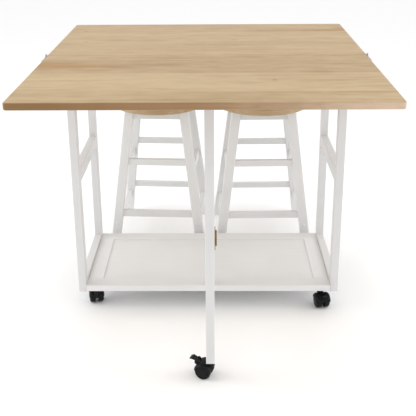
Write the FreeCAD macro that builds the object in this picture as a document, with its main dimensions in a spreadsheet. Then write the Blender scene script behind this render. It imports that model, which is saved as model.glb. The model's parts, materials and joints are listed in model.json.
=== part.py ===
import FreeCAD, Part
import os
import re

import Sketcher

Vector = FreeCAD.Vector
Rotation = FreeCAD.Rotation

# Rolling kitchen table: a cart on casters with a storage shelf, a fixed top, a leaf that folds over,
# a gate leg that carries the leaf, and two round stools. Millimetres, +Z up, viewer on the -Y side.
# Inside the formulas Y is counted from the seam of the top, and place() moves it to the part's origin.

SIZES = {
    # Table top, two boards that meet at the seam
    "table_height": 755,
    "top_width": 808,
    "leaf_depth": 432,
    "fixed_depth": 432,
    "top_thickness": 16.5,
    "seam_gap": 0.5,
    "corner_radius": 8,
    "edge_round": 3,
    # Cart frame
    "cart_width": 739,
    "cart_depth": 340,
    "cart_setback": 30,
    "post_width": 21,
    "post_depth": 30,
    "foot_height": 59,
    "bar_ease": 1,
    "side_rail_thickness": 21,
    "middle_rail_top": 425,
    "middle_rail_height": 37,
    "bottom_rail_top": 88,
    "bottom_rail_height": 28,
    "top_rail_thickness": 21,
    "top_rail_height": 40,
    # Storage shelf, frame and panel
    "shelf_top": 78,
    "shelf_thickness": 18,
    "shelf_member": 43,
    "shelf_end_gap": 0.3,
    "panel_recess": 3,
    "panel_thickness": 12,
    "tongue_depth": 6,
    "tongue_thickness": 6,
    "groove_clearance": 0.3,
    # Gate under the leaf
    "gate_centre": 8.4,
    "gate_thickness": 21,
    "gate_leg_ahead": 283,
    "gate_leg_depth": 30,
    "gate_stile_depth": 30,
    "gate_foot": 49,
    "gate_bottom": 190,
    "gate_top_clearance": 0.5,
    "gate_gap": 0.4,
    "gate_rail_thickness": 18,
    "gate_top_rail_height": 38,
    "gate_bottom_rail_height": 35,
    # Butt hinges of the gate, the lower one above the gate's bottom, the upper one below its top
    "hinge_height": 46,
    "lower_hinge": 15,
    "upper_hinge": 52,
    "hinge_plate": 2,
    "hinge_plate_width": 24,
    "hinge_axis_stand": 3.5,
    "barrel_radius": 3,
    "knuckle_gap": 0.4,
    "pin_radius": 1.5,
    "pin_clearance": 0.05,
    "pin_head_radius": 2.4,
    "pin_head": 1.2,
    # End hinges of the leaf
    "arm_thickness": 1.6,
    "arm_gap": 0.3,
    "arm_length": 48,
    "arm_height": 9,
    "arm_inset": 3,
    "arm_start": 8,
    "eye_radius": 3,
    "leaf_lift": 0.3,
    "leaf_side_clearance": 0.3,
    # Casters
    "caster_spread": 325,
    "caster_inset": 33,
    "trail": 16,
    "wheel_radius": 20.5,
    "fin_half": 4,
    "wheel_side_gap": 0.5,
    "wheel_outer": 22.5,
    "tread_ease": 2,
    "axle_radius": 3,
    "axle_clearance": 0.05,
    "axle_inset": 3,
    "fender_gap": 0.8,
    "fender_thickness": 1.6,
    "fender_rise": 5,
    "hub_web_radius": 11,
    "boss_radius": 9,
    "boss_top": 46.5,
    "pintle_radius": 4,
    "pintle_depth": 11,
    "pintle_end_gap": 0.5,
    "swivel_gap": 0.5,
    "collar_radius": 8,
    "caster_plate": 38,
    "caster_plate_thickness": 2.5,
    "stem_length": 28,
    # Brake levers
    "pivot_ahead": 17.4,
    "pivot_rise": 20.8,
    "ear_radius": 5.5,
    "ear_thickness": 2,
    "lever_width": 16,
    "lever_side_gap": 0.4,
    "lever_barrel_radius": 2.8,
    "lever_length": 19.6,
    # Stools
    "seat_radius": 160,
    "seat_thickness": 22,
    "seat_ease": 4,
    "stool_leg_top": 471,
    "stool_spread": 145,
    "stool_splay_share": 0.121,
    "stool_leg_width": 30,
    "stool_leg_depth": 24,
    "stool_leg_ease": 2,
    "apron_height": 30,
    "rung_height": 20,
    "rung_depth": 14,
    "lower_front_rung": 122,
    "upper_front_rung": 297,
    "lower_side_rung": 88,
    "upper_side_rung": 258,
    "left_stool_across": 164,
    "left_stool_behind": 34,
    "right_stool_across": 177,
    "right_stool_behind": 23,
    # How far a cutting shape runs past what it cuts
    "overrun": 1,
}

# Outline of a brake lever from its pivot, ahead and up, as shares of its length
LEVER_SHARES = (
    (0.04, -0.05),
    (0.40, 0.22),
    (0.66, 0.28),
    (0.99, 0.27),
    (1.00, 0.31),
    (0.66, 0.48),
    (0.32, 0.33),
    (-0.04, 0.05),
)
LEFT_STOOL_DEGREES = -3.09
RIGHT_STOOL_DEGREES = 1.01
CASTER_DEGREES = {
    "gate": 160,
    "front_left": 105,
    "front_right": -80,
    "back_left": 60,
    "back_right": 120,
}

# Formulas that several pieces share
UNDERSIDE = "(table_height - top_thickness)"
GATE_TOP = "(table_height - top_thickness - gate_top_clearance)"
BETWEEN_POSTS = "(cart_width - 2 * post_width)"
SHELF_WIDTH = "(cart_width - 2 * post_width - 2 * shelf_end_gap)"
SHELF_UNDER = "(shelf_top - shelf_thickness)"
TONGUE_LOW = "(shelf_top - panel_recess - (panel_thickness + tongue_thickness) / 2)"
GATE_FACE = "(gate_centre + gate_thickness / 2)"
GATE_AXIS_X = "(gate_centre + gate_thickness / 2 + hinge_axis_stand)"
GATE_AXIS_Y = "(cart_setback - gate_gap / 2)"
FENDER_RADIUS = "(wheel_radius + fender_gap + fender_thickness)"
FENDER_LOW = "(wheel_radius + fender_rise)"
WHEEL_INNER = "(fin_half + wheel_side_gap)"
AXLE_HALF = "(wheel_outer - axle_inset)"
COLLAR_LOW = "(boss_top + swivel_gap)"
PIVOT_X = "(trail + pivot_ahead)"
PIVOT_Z = "(wheel_radius + pivot_rise)"
EAR_INNER = "(lever_width / 2 + lever_side_gap)"
STOOL_FRONT = "(cart_setback + cart_depth + stool_spread + stool_leg_depth / 2)"
BACK_REACH = (
    "({1} + left_stool_behind + (stool_spread + stool_leg_depth / 2) * cos({0})"
    " + (stool_spread + stool_leg_width / 2) * sin({0}))"
).format(abs(LEFT_STOOL_DEGREES), STOOL_FRONT)
TO_ORIGIN = "((leaf_depth - %s) / 2)" % BACK_REACH

doc = FreeCAD.newDocument("rolling_table")
sheet = doc.addObject("Spreadsheet::Sheet", "sizes")
for row, (alias, value) in enumerate(SIZES.items(), start=1):
    sheet.set("A%d" % row, alias.replace("_", " "))
    sheet.set("B%d" % row, str(value))
    sheet.setAlias("B%d" % row, alias)
doc.recompute()

nodes = []


# Formulas, places and nodes

def formula(text):
    """Turn plain size names into references to the sheet's cells."""
    return re.sub(r"[a-z_]+", lambda word: ("sizes." if word[0] in SIZES else "") + word[0], text)


def bind(thing, **fields):
    """Bind properties of a thing to formulas of the sheet's sizes."""
    for field, text in fields.items():
        thing.setExpression(field, formula(text))


def put(thing, x="0", y="0", z="0", rotation=Rotation()):
    """Place a thing in its own group's axes."""
    thing.Placement = FreeCAD.Placement(Vector(), rotation)
    for axis, text in zip("xyz", (x, y, z)):
        thing.setExpression("Placement.Base." + axis, formula(text))
    return thing


def place(thing, x="0", y="0", z="0", turn_degrees=0):
    """Place a thing in the part's frame, with y counted from the seam of the top."""
    return put(thing, x, "%s + %s" % (y, TO_ORIGIN), z, Rotation(Vector(0, 0, 1), turn_degrees))


def node(thing, name):
    """Keep a thing as one piece of the part."""
    thing.Label = name
    nodes.append(thing)
    return thing


# Solids

def block(dx, dy, dz):
    """A box from its low corner."""
    thing = doc.addObject("Part::Box", "block")
    bind(thing, Length=dx, Width=dy, Height=dz)
    return thing


ROD_TURN = {
    "X": Rotation(Vector(0, 1, 0), 90),
    "Y": Rotation(Vector(1, 0, 0), -90),
    "Z": Rotation(),
}


def rod(run, radius, length, x="0", y="0", z="0"):
    """A round bar that runs from its low end along one axis, in its own group's axes."""
    thing = doc.addObject("Part::Cylinder", "rod")
    bind(thing, Radius=radius, Height=length)
    return put(thing, x, y, z, ROD_TURN[run])


def fuse(*shapes):
    """One solid of several."""
    thing = doc.addObject("Part::MultiFuse", "fusion")
    thing.Shapes = list(shapes)
    thing.Refine = True
    return thing


def cut(base, *tools):
    """A solid less one or more others."""
    thing = doc.addObject("Part::Cut", "cut")
    thing.Base = base
    thing.Tool = tools[0] if len(tools) == 1 else fuse(*tools)
    thing.Refine = True
    return thing


def group(*shapes):
    """Separate solids that share one node."""
    thing = doc.addObject("Part::Compound", "group")
    thing.Links = list(shapes)
    return thing


def sketch_on(body, role):
    """A sketch on one of the body's own origin planes."""
    sketch = body.newObject("Sketcher::SketchObject", "outline")
    plane = next(feature for feature in body.Origin.OriginFeatures if feature.Role == role)
    sketch.AttachmentSupport = [(plane, "")]
    sketch.MapMode = "FlatFace"
    return sketch


def polygon(sketch, points):
    """A closed outline whose corners are formulas (across, up), starting from a unit circle."""
    count = len(points)
    start = [Rotation(Vector(0, 0, 1), 360 * i / count).multVec(Vector(1, 0, 0)) for i in range(count)]
    for i in range(count):
        sketch.addGeometry(Part.LineSegment(start[i], start[(i + 1) % count]), False)
    for i in range(count):
        sketch.addConstraint(Sketcher.Constraint("Coincident", i, 2, (i + 1) % count, 1))
    for i, corner in enumerate(points):
        for way, text in zip("XY", corner):
            if text == "0":
                axis = -2 if way == "X" else -1
                sketch.addConstraint(Sketcher.Constraint("PointOnObject", i, 1, axis))
                continue
            spot = sketch.addConstraint(Sketcher.Constraint("Distance" + way, -1, 1, i, 1, 1.0))
            sketch.setExpression("Constraints[%d]" % spot, formula(text))


def pad(body, sketch, length, reverse=False):
    """Pad a sketch by a formula."""
    feature = body.newObject("PartDesign::Pad", "length")
    feature.Profile = sketch
    feature.Reversed = reverse
    bind(feature, Length=length)
    doc.recompute()
    return feature


def dress(body, base, kind, wanted, size):
    """Round or chamfer the edges of a feature that a test picks."""
    names = ["Edge%d" % (i + 1) for i, edge in enumerate(base.Shape.Edges) if wanted(edge)]
    feature = body.newObject("PartDesign::" + kind, "dressed")
    feature.Base = (base, names)
    bind(feature, **{"Radius" if kind == "Fillet" else "Size": size})
    doc.recompute()
    return feature


WAYS = {"X": Vector(1, 0, 0), "Y": Vector(0, 1, 0), "Z": Vector(0, 0, 1)}


def runs_along(edge, way):
    """True for a straight edge along an axis."""
    straight = edge.Curve.TypeId == "Part::GeomLine"
    return straight and abs(abs(edge.Curve.Direction.dot(WAYS[way])) - 1) < 1e-6


def bar(run, dx, dy, dz, x, y, z, ease="bar_ease"):
    """A sawn bar along one axis, with its four long edges eased."""
    role, across, up, length = {
        "X": ("YZ_Plane", dy, dz, dx),
        "Y": ("XZ_Plane", dx, dz, dy),
        "Z": ("XY_Plane", dx, dy, dz),
    }[run]
    body = doc.addObject("PartDesign::Body", "bar")
    sketch = sketch_on(body, role)
    polygon(sketch, [("0", "0"), (across, "0"), (across, up), ("0", up)])
    sawn = pad(body, sketch, length, reverse=run == "Y")
    dress(body, sawn, "Chamfer", lambda edge: runs_along(edge, run), ease)
    return place(body, x, y, z)


# Table top

def board(width, depth, y, seam_behind):
    """One board of the top: square at the seam, its outer corners and all its other edges rounded."""
    body = doc.addObject("PartDesign::Body", "board")
    sketch = sketch_on(body, "XY_Plane")
    polygon(sketch, [("0", "0"), (width, "0"), (width, depth), ("0", depth)])
    sawn = pad(body, sketch, "top_thickness")
    box = sawn.Shape.BoundBox
    seam = box.YMax if seam_behind else box.YMin
    outer = box.YMin if seam_behind else box.YMax

    def at(edge, level):
        return abs(edge.CenterOfMass.y - level) < 1e-6

    cornered = dress(body, sawn, "Fillet", lambda edge: runs_along(edge, "Z") and at(edge, outer),
                     "corner_radius")
    dress(body, cornered, "Fillet", lambda edge: not runs_along(edge, "Z") and not at(edge, seam),
          "edge_round")
    return place(body, "-(%s) / 2" % width, y, UNDERSIDE)


def make_top():
    """The fixed top behind the seam and the leaf in front of it."""
    node(board("top_width", "fixed_depth", "0", False), "fixed_top")
    node(board("(top_width - 2 * leaf_side_clearance)", "(leaf_depth - seam_gap)", "-leaf_depth", True),
         "folding_leaf")


def arm_x(side, start, thickness):
    """Low X of a plate that starts a distance outside the top's edge, on the left or the right."""
    if side == "right":
        return "top_width / 2 + %s" % start
    return "-top_width / 2 - %s - %s" % (start, thickness)


def eye_plate(side, start, thickness, low_y, long):
    """A flat strap under the top's surface that rises to an eye round the leaf's axis."""
    x = arm_x(side, start, thickness)
    axis_y = "(-seam_gap / 2)"
    axis_z = "(table_height + leaf_lift)"
    strap_low = "(table_height - arm_inset - arm_height)"
    strap = put(block(thickness, long, "arm_height"), x, low_y, strap_low)
    neck = put(block(thickness, "2 * eye_radius", "%s - %s" % (axis_z, strap_low)),
               x, "%s - eye_radius" % axis_y, strap_low)
    eye = rod("X", "eye_radius", thickness, x, axis_y, axis_z)
    return [strap, neck, eye]


def make_leaf_hinges():
    """End hinges: a plate on the fixed top's edge, and an arm on the leaf's edge with its pin."""
    plates = []
    arms = []
    outside = "(arm_thickness + arm_gap)"
    full = "(leaf_side_clearance + 2 * arm_thickness + arm_gap)"
    axis_y = "(-seam_gap / 2)"
    axis_z = "(table_height + leaf_lift)"
    for side in ("left", "right"):
        fixed = fuse(*eye_plate(side, "0", "arm_thickness", "%s - eye_radius" % axis_y, "arm_length"))
        bore = rod("X", "pin_radius + pin_clearance", "arm_thickness + 2 * overrun",
                   arm_x(side, "(-overrun)", "(arm_thickness + 2 * overrun)"), axis_y, axis_z)
        plates.append(cut(fixed, bore))
        thin = eye_plate(side, outside, "arm_thickness", "%s - arm_start - overrun" % axis_y,
                         "arm_start + overrun + eye_radius")
        thick = put(block(full, "arm_length - arm_start", "arm_height"),
                    arm_x(side, "(-leaf_side_clearance)", full),
                    "%s - arm_length" % axis_y, "table_height - arm_inset - arm_height")
        pin_long = "(2 * arm_thickness)"
        pin = rod("X", "pin_radius", pin_long, arm_x(side, "arm_gap", pin_long), axis_y, axis_z)
        arms.append(fuse(thick, pin, *thin))
    node(place(group(*plates)), "leaf_hinge_plates")
    node(place(group(*arms)), "leaf_hinge_arms")


# Cart frame

def make_frame():
    """Posts, side rails and the rails under the fixed top."""
    side_x = {
        "left": "-cart_width / 2",
        "right": "cart_width / 2 - post_width",
    }
    end_y = {
        "front": "cart_setback",
        "back": "cart_setback + cart_depth - post_depth",
    }
    side_rails = {
        "top": ("%s - top_rail_height" % UNDERSIDE, "top_rail_height"),
        "middle": ("middle_rail_top - middle_rail_height", "middle_rail_height"),
        "bottom": ("bottom_rail_top - bottom_rail_height", "bottom_rail_height"),
    }
    for side, x in side_x.items():
        for end, y in end_y.items():
            post = bar("Z", "post_width", "post_depth", "%s - foot_height" % UNDERSIDE, x, y, "foot_height")
            node(post, "%s_%s_post" % (end, side))
        rail_x = "%s + (post_width - side_rail_thickness) / 2" % x
        for level, (low, height) in side_rails.items():
            rail = bar("Y", "side_rail_thickness", "cart_depth - 2 * post_depth", height,
                       rail_x, "cart_setback + post_depth", low)
            node(rail, "%s_%s_rail" % (side, level))
    for end, y in end_y.items():
        rail = bar("X", BETWEEN_POSTS, "top_rail_thickness", "top_rail_height", "-%s / 2" % BETWEEN_POSTS,
                   "%s + (post_depth - top_rail_thickness) / 2" % y, "%s - top_rail_height" % UNDERSIDE)
        node(rail, "%s_top_rail" % end)
    post = bar("Z", "gate_thickness", "post_depth", "%s - top_rail_height - shelf_top" % UNDERSIDE,
               "gate_centre - gate_thickness / 2", "cart_setback", "shelf_top")
    node(post, "hinge_post")


def make_shelf():
    """The storage shelf: a grooved frame round a panel with a tongue."""
    left = "-%s / 2" % SHELF_WIDTH
    inner = "(%s / 2 - shelf_member)" % SHELF_WIDTH
    groove = place(
        block("2 * (%s + tongue_depth + groove_clearance)" % inner,
              "cart_depth - 2 * (shelf_member - tongue_depth - groove_clearance)", "tongue_thickness"),
        "-(%s + tongue_depth + groove_clearance)" % inner,
        "cart_setback + shelf_member - tongue_depth - groove_clearance", TONGUE_LOW)
    rail_y = {
        "front": "cart_setback",
        "back": "cart_setback + cart_depth - shelf_member",
    }
    for end, y in rail_y.items():
        rail = bar("X", SHELF_WIDTH, "shelf_member", "shelf_thickness", left, y, SHELF_UNDER)
        node(cut(rail, groove), "shelf_%s_rail" % end)
    stile_x = {
        "left": left,
        "right": inner,
    }
    for side, x in stile_x.items():
        stile = bar("Y", "shelf_member", "cart_depth - 2 * shelf_member", "shelf_thickness",
                    x, "cart_setback + shelf_member", SHELF_UNDER)
        node(cut(stile, groove), "shelf_%s_stile" % side)
    field = place(
        block("2 * %s" % inner, "cart_depth - 2 * shelf_member", "panel_thickness"),
        "-%s" % inner, "cart_setback + shelf_member", "shelf_top - panel_recess - panel_thickness")
    tongue = place(
        block("2 * (%s + tongue_depth)" % inner, "cart_depth - 2 * (shelf_member - tongue_depth)",
              "tongue_thickness"),
        "-(%s + tongue_depth)" % inner, "cart_setback + shelf_member - tongue_depth", TONGUE_LOW)
    node(fuse(field, tongue), "shelf_panel")


# Gate and its hinges

def make_gate():
    """The gate frame: leg, stile and two rails."""
    x = "gate_centre - gate_thickness / 2"
    leg = bar("Z", "gate_thickness", "gate_leg_depth", "%s - gate_foot" % GATE_TOP,
              x, "-gate_leg_ahead - gate_leg_depth / 2", "gate_foot")
    socket = place(rod("Z", "pintle_radius + axle_clearance", "stem_length + overrun"),
                   "gate_centre", "-gate_leg_ahead", "gate_foot - overrun")
    node(cut(leg, socket), "gate_leg")
    stile_front = "(cart_setback - gate_gap - gate_stile_depth)"
    stile = bar("Z", "gate_thickness", "gate_stile_depth", "%s - gate_bottom" % GATE_TOP,
                x, stile_front, "gate_bottom")
    node(stile, "gate_stile")
    leg_back = "(-gate_leg_ahead + gate_leg_depth / 2)"
    rails = {
        "gate_top_rail": ("%s - gate_top_rail_height" % GATE_TOP, "gate_top_rail_height"),
        "gate_bottom_rail": ("gate_bottom", "gate_bottom_rail_height"),
    }
    for name, (low, height) in rails.items():
        rail = bar("Y", "gate_rail_thickness", "%s - %s" % (stile_front, leg_back), height,
                   "gate_centre - gate_rail_thickness / 2", leg_back, low)
        node(rail, name)


def hinge_leaf(low, moving):
    """One leaf of a butt hinge: plate, tabs and knuckles, on the post or on the gate."""
    reach = "(barrel_radius + knuckle_gap)"
    third = "(hinge_height / 3)"
    if moving:
        plate_y = "%s - %s - hinge_plate_width" % (GATE_AXIS_Y, reach)
        tab_y = "%s - %s - overrun" % (GATE_AXIS_Y, reach)
        knuckles = [("%s + %s + knuckle_gap / 2" % (low, third), "%s - knuckle_gap" % third)]
    else:
        plate_y = "%s + %s" % (GATE_AXIS_Y, reach)
        tab_y = GATE_AXIS_Y
        knuckles = [
            (low, "%s - knuckle_gap / 2" % third),
            ("%s + 2 * %s + knuckle_gap / 2" % (low, third), "%s - knuckle_gap / 2" % third),
        ]
    solids = [put(block("hinge_plate", "hinge_plate_width", "hinge_height"), GATE_FACE, plate_y, low)]
    for bottom, height in knuckles:
        solids.append(put(block("hinge_plate", "%s + overrun" % reach, height), GATE_FACE, tab_y, bottom))
        solids.append(rod("Z", "barrel_radius", height, GATE_AXIS_X, GATE_AXIS_Y, bottom))
    bore = rod("Z", "pin_radius + pin_clearance", "hinge_height + 2 * overrun",
               GATE_AXIS_X, GATE_AXIS_Y, "%s - overrun" % low)
    return cut(fuse(*solids), bore)


def make_gate_hinges():
    """Two butt hinges on the right faces of the hinge post and the gate stile, with loose pins."""
    heights = ("(gate_bottom + lower_hinge)", "(%s - upper_hinge - hinge_height)" % GATE_TOP)
    node(place(group(*[hinge_leaf(low, False) for low in heights])), "gate_hinge_plates")
    node(place(group(*[hinge_leaf(low, True) for low in heights])), "gate_hinge_leaves")
    pins = []
    for low in heights:
        top = "(%s + hinge_height + knuckle_gap / 4)" % low
        shank = rod("Z", "pin_radius", "hinge_height + knuckle_gap / 2", GATE_AXIS_X, GATE_AXIS_Y, low)
        head = rod("Z", "pin_head_radius", "pin_head", GATE_AXIS_X, GATE_AXIS_Y, top)
        pins.append(fuse(shank, head))
    node(place(group(*pins)), "gate_hinge_pins")


# Casters, in axes of their own: swivel axis up through the origin, wheels trailing along +X

def caster_hood(braked):
    """A hood with a round fender over both wheels, a fin between them, a swivel boss and a lever's pin."""
    crown = rod("Y", FENDER_RADIUS, "2 * wheel_outer", "trail", "-wheel_outer", "wheel_radius")
    upper = put(block("2 * (%s + overrun)" % FENDER_RADIUS, "2 * (wheel_outer + overrun)",
                      "%s + overrun" % FENDER_RADIUS),
                "trail - %s - overrun" % FENDER_RADIUS, "-wheel_outer - overrun", FENDER_LOW)
    half = doc.addObject("Part::Common", "half_crown")
    half.Base = crown
    half.Tool = upper
    boss = rod("Z", "boss_radius", "boss_top - %s" % FENDER_LOW, "0", "0", FENDER_LOW)
    web = rod("Y", "hub_web_radius", "2 * fin_half", "trail", "-fin_half", "wheel_radius")
    solids = [half, boss, web]
    space = "wheel_outer - fin_half + overrun"
    tools = [
        rod("Y", "wheel_radius + fender_gap", space, "trail", "fin_half", "wheel_radius"),
        rod("Y", "wheel_radius + fender_gap", space, "trail", "-wheel_outer - overrun", "wheel_radius"),
        rod("Y", "axle_radius + axle_clearance", "2 * (fin_half + overrun)", "trail",
            "-fin_half - overrun", "wheel_radius"),
        rod("Z", "pintle_radius + axle_clearance", "pintle_depth + overrun", "0", "0",
            "boss_top - pintle_depth"),
    ]
    if braked:
        for y in (EAR_INNER, "-%s - ear_thickness" % EAR_INNER):
            solids.append(rod("Y", "ear_radius", "ear_thickness", PIVOT_X, y, PIVOT_Z))
        pin_half = "(%s + ear_thickness / 2)" % EAR_INNER
        solids.append(rod("Y", "pin_radius", "2 * %s" % pin_half, PIVOT_X, "-%s" % pin_half, PIVOT_Z))
    return cut(fuse(*solids), *tools)


def caster_wheels():
    """A pair of wheels: a turned profile with an eased tread and a blind bore, and its mirror."""
    body = doc.addObject("PartDesign::Body", "wheel")
    sketch = sketch_on(body, "XY_Plane")
    bore = "axle_radius + axle_clearance"
    bore_end = "%s + axle_clearance" % AXLE_HALF
    polygon(sketch, [
        (bore, WHEEL_INNER),
        ("wheel_radius", WHEEL_INNER),
        ("wheel_radius", "wheel_outer - tread_ease"),
        ("wheel_radius - tread_ease", "wheel_outer"),
        ("0", "wheel_outer"),
        ("0", bore_end),
        (bore, bore_end),
    ])
    turned = body.newObject("PartDesign::Revolution", "turned")
    turned.Profile = sketch
    turned.ReferenceAxis = (sketch, ["V_Axis"])
    turned.Angle = 360
    put(body, "trail", "0", "wheel_radius")
    mirrored = doc.addObject("Part::Mirroring", "mirrored_wheel")
    mirrored.Source = body
    mirrored.Normal = WAYS["Y"]
    return group(body, mirrored)


def brake_lever():
    """A brake lever: a barrel on the pin between the hood's ears, and a bent paddle to step on."""
    low_y = "-lever_width / 2"
    barrel = rod("Y", "lever_barrel_radius", "lever_width", PIVOT_X, low_y, PIVOT_Z)
    body = doc.addObject("PartDesign::Body", "paddle")
    sketch = sketch_on(body, "XZ_Plane")
    polygon(sketch, [("%s * lever_length" % ahead, "%s * lever_length" % up) for ahead, up in LEVER_SHARES])
    pad(body, sketch, "lever_width", reverse=True)
    paddle = put(body, PIVOT_X, low_y, PIVOT_Z)
    bore = rod("Y", "pin_radius + pin_clearance", "lever_width + 2 * overrun",
               PIVOT_X, "%s - overrun" % low_y, PIVOT_Z)
    return cut(fuse(barrel, paddle), bore)


def make_casters():
    """Five casters: four under the cart and one under the gate's leg."""
    front = "cart_setback + caster_inset"
    back = "cart_setback + cart_depth - caster_inset"
    spots = {
        "gate": ("gate_centre", "-gate_leg_ahead"),
        "front_left": ("-caster_spread", front),
        "front_right": ("caster_spread", front),
        "back_left": ("-caster_spread", back),
        "back_right": ("caster_spread", back),
    }
    pintle_low = "(boss_top - pintle_depth + pintle_end_gap)"
    plates = []
    for spot, (x, y) in spots.items():
        braked = not spot.startswith("back")
        pieces = {
            "hood": caster_hood(braked),
            "axle": rod("Y", "axle_radius", "2 * %s" % AXLE_HALF, "trail", "-%s" % AXLE_HALF, "wheel_radius"),
            "wheels": caster_wheels(),
        }
        if braked:
            pieces["brake_lever"] = brake_lever()
        for piece, thing in pieces.items():
            node(place(group(thing), x, y, "0", CASTER_DEGREES[spot]), "%s_caster_%s" % (spot, piece))
        if spot == "gate":
            stem = fuse(
                rod("Z", "pintle_radius", "gate_foot + stem_length - pintle_end_gap - %s" % pintle_low,
                    z=pintle_low),
                rod("Z", "collar_radius", "gate_foot - %s" % COLLAR_LOW, z=COLLAR_LOW))
            node(place(stem, x, y), "gate_caster_stem")
            continue
        flange_low = "(%s - caster_plate_thickness)" % SHELF_UNDER
        mount = fuse(
            rod("Z", "pintle_radius", "%s - %s" % (flange_low, pintle_low), z=pintle_low),
            rod("Z", "collar_radius", "%s - %s" % (flange_low, COLLAR_LOW), z=COLLAR_LOW),
            put(block("caster_plate", "caster_plate", "caster_plate_thickness"),
                "-caster_plate / 2", "-caster_plate / 2", flange_low))
        plates.append(place(mount, x, y))
    node(group(*plates), "caster_plates")


# Stools, in axes of their own: middle of the floor under the seat, four legs that splay alike

def spread(level):
    """How far a leg's middle stands from the stool's middle at a height."""
    return "(stool_spread - stool_splay_share * (%s))" % level


def splayed(low, high, low_x, low_y, high_x, high_y):
    """A prism between two level rectangles, each given by its low and high corners in X and in Y."""
    thing = doc.addObject("Part::Wedge", "splayed")
    bind(thing, Ymin=low, Ymax=high,
         Xmin=low_x[0], Xmax=low_x[1], X2min=high_x[0], X2max=high_x[1],
         Zmin="-(%s)" % low_y[1], Zmax="-(%s)" % low_y[0],
         Z2min="-(%s)" % high_y[1], Z2max="-(%s)" % high_y[0])
    thing.Placement.Rotation = Rotation(WAYS["X"], 90)
    return thing


def stool_leg(x_sign, y_sign):
    """A splayed leg cut level at both ends, with its long edges eased."""
    rectangles = []
    for level in ("0", "stool_leg_top"):
        for sign, size in ((x_sign, "stool_leg_width"), (y_sign, "stool_leg_depth")):
            middle = "%s%s" % (sign, spread(level))
            rectangles.append(("%s - %s / 2" % (middle, size), "%s + %s / 2" % (middle, size)))
    sawn = splayed("0", "stool_leg_top", *rectangles)
    doc.recompute()
    eased = doc.addObject("Part::Chamfer", "eased_leg")
    eased.Base = sawn
    ease = float(sheet.get("stool_leg_ease"))
    long_edges = [i + 1 for i, edge in enumerate(sawn.Shape.Edges)
                  if edge.BoundBox.ZLength > sawn.Shape.BoundBox.ZLength / 2]
    eased.Edges = [(i, ease, ease) for i in long_edges]
    return eased


def stool_rail(side, low, high):
    """A rail between two legs on one side, its ends and faces following the legs' splay."""
    rectangles = []
    for level in (low, high):
        sign = "-" if side in ("front", "left") else ""
        middle = "%s%s" % (sign, spread(level))
        thick = ("%s - rung_depth / 2" % middle, "%s + rung_depth / 2" % middle)
        if side in ("front", "back"):
            half = "(%s - stool_leg_width / 2)" % spread(level)
            rectangles += [("-%s" % half, half), thick]
        else:
            half = "(%s - stool_leg_depth / 2)" % spread(level)
            rectangles += [thick, ("-%s" % half, half)]
    return splayed(low, high, *rectangles)


def rung(side, middle):
    """A rung at a height."""
    return stool_rail(side, "%s - rung_height / 2" % middle, "%s + rung_height / 2" % middle)


def stool_seat():
    """A round seat with eased edges."""
    body = doc.addObject("PartDesign::Body", "seat")
    sketch = sketch_on(body, "XY_Plane")
    sketch.addGeometry(Part.Circle(Vector(), WAYS["Z"], 1), False)
    sketch.addConstraint(Sketcher.Constraint("Coincident", 0, 3, -1, 1))
    radius = sketch.addConstraint(Sketcher.Constraint("Radius", 0, 1))
    sketch.setExpression("Constraints[%d]" % radius, formula("seat_radius"))
    disc = pad(body, sketch, "seat_thickness")
    dress(body, disc, "Chamfer", lambda edge: edge.Curve.TypeId == "Part::GeomCircle", "seat_ease")
    return put(body, z="stool_leg_top")


def make_stools():
    """Two stools of one kind, each turned a little on the floor."""
    spots = {
        "left_stool": ("-left_stool_across", "%s + left_stool_behind" % STOOL_FRONT, LEFT_STOOL_DEGREES),
        "right_stool": ("right_stool_across", "%s + right_stool_behind" % STOOL_FRONT, RIGHT_STOOL_DEGREES),
    }
    for name, (x, y, turn_degrees) in spots.items():
        apron_low = "stool_leg_top - apron_height"
        pieces = {
            "seat": [stool_seat()],
            "legs": [stool_leg(x_sign, y_sign) for x_sign in ("-", "") for y_sign in ("-", "")],
            "aprons": [stool_rail(side, apron_low, "stool_leg_top")
                       for side in ("front", "back", "left", "right")],
            "front_and_back_rungs": [rung(side, middle) for side in ("front", "back")
                                     for middle in ("lower_front_rung", "upper_front_rung")],
            "side_rungs": [rung(side, middle) for side in ("left", "right")
                           for middle in ("lower_side_rung", "upper_side_rung")],
        }
        for piece, solids in pieces.items():
            node(place(group(*solids), x, y, "0", turn_degrees), "%s_%s" % (name, piece))


make_top()
make_leaf_hinges()
make_frame()
make_shelf()
make_gate()
make_gate_hinges()
make_casters()
make_stools()
doc.recompute()

failed = [thing.Name for thing in doc.Objects if "Invalid" in thing.State or "Error" in thing.State]
if failed:
    raise RuntimeError("objects failed: %s" % ", ".join(failed))
for piece in nodes:
    if piece.Shape.isNull() or not piece.Shape.isValid():
        raise RuntimeError("bad shape: %s" % piece.Label)

os.makedirs("parts", exist_ok=True)
for piece in nodes:
    piece.Shape.exportStep("parts/%s.step" % piece.Label)
print(len(nodes), "nodes written")
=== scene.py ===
import json
import math

import bmesh
import bpy
import numpy as np
from mathutils import Matrix, Vector


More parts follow.
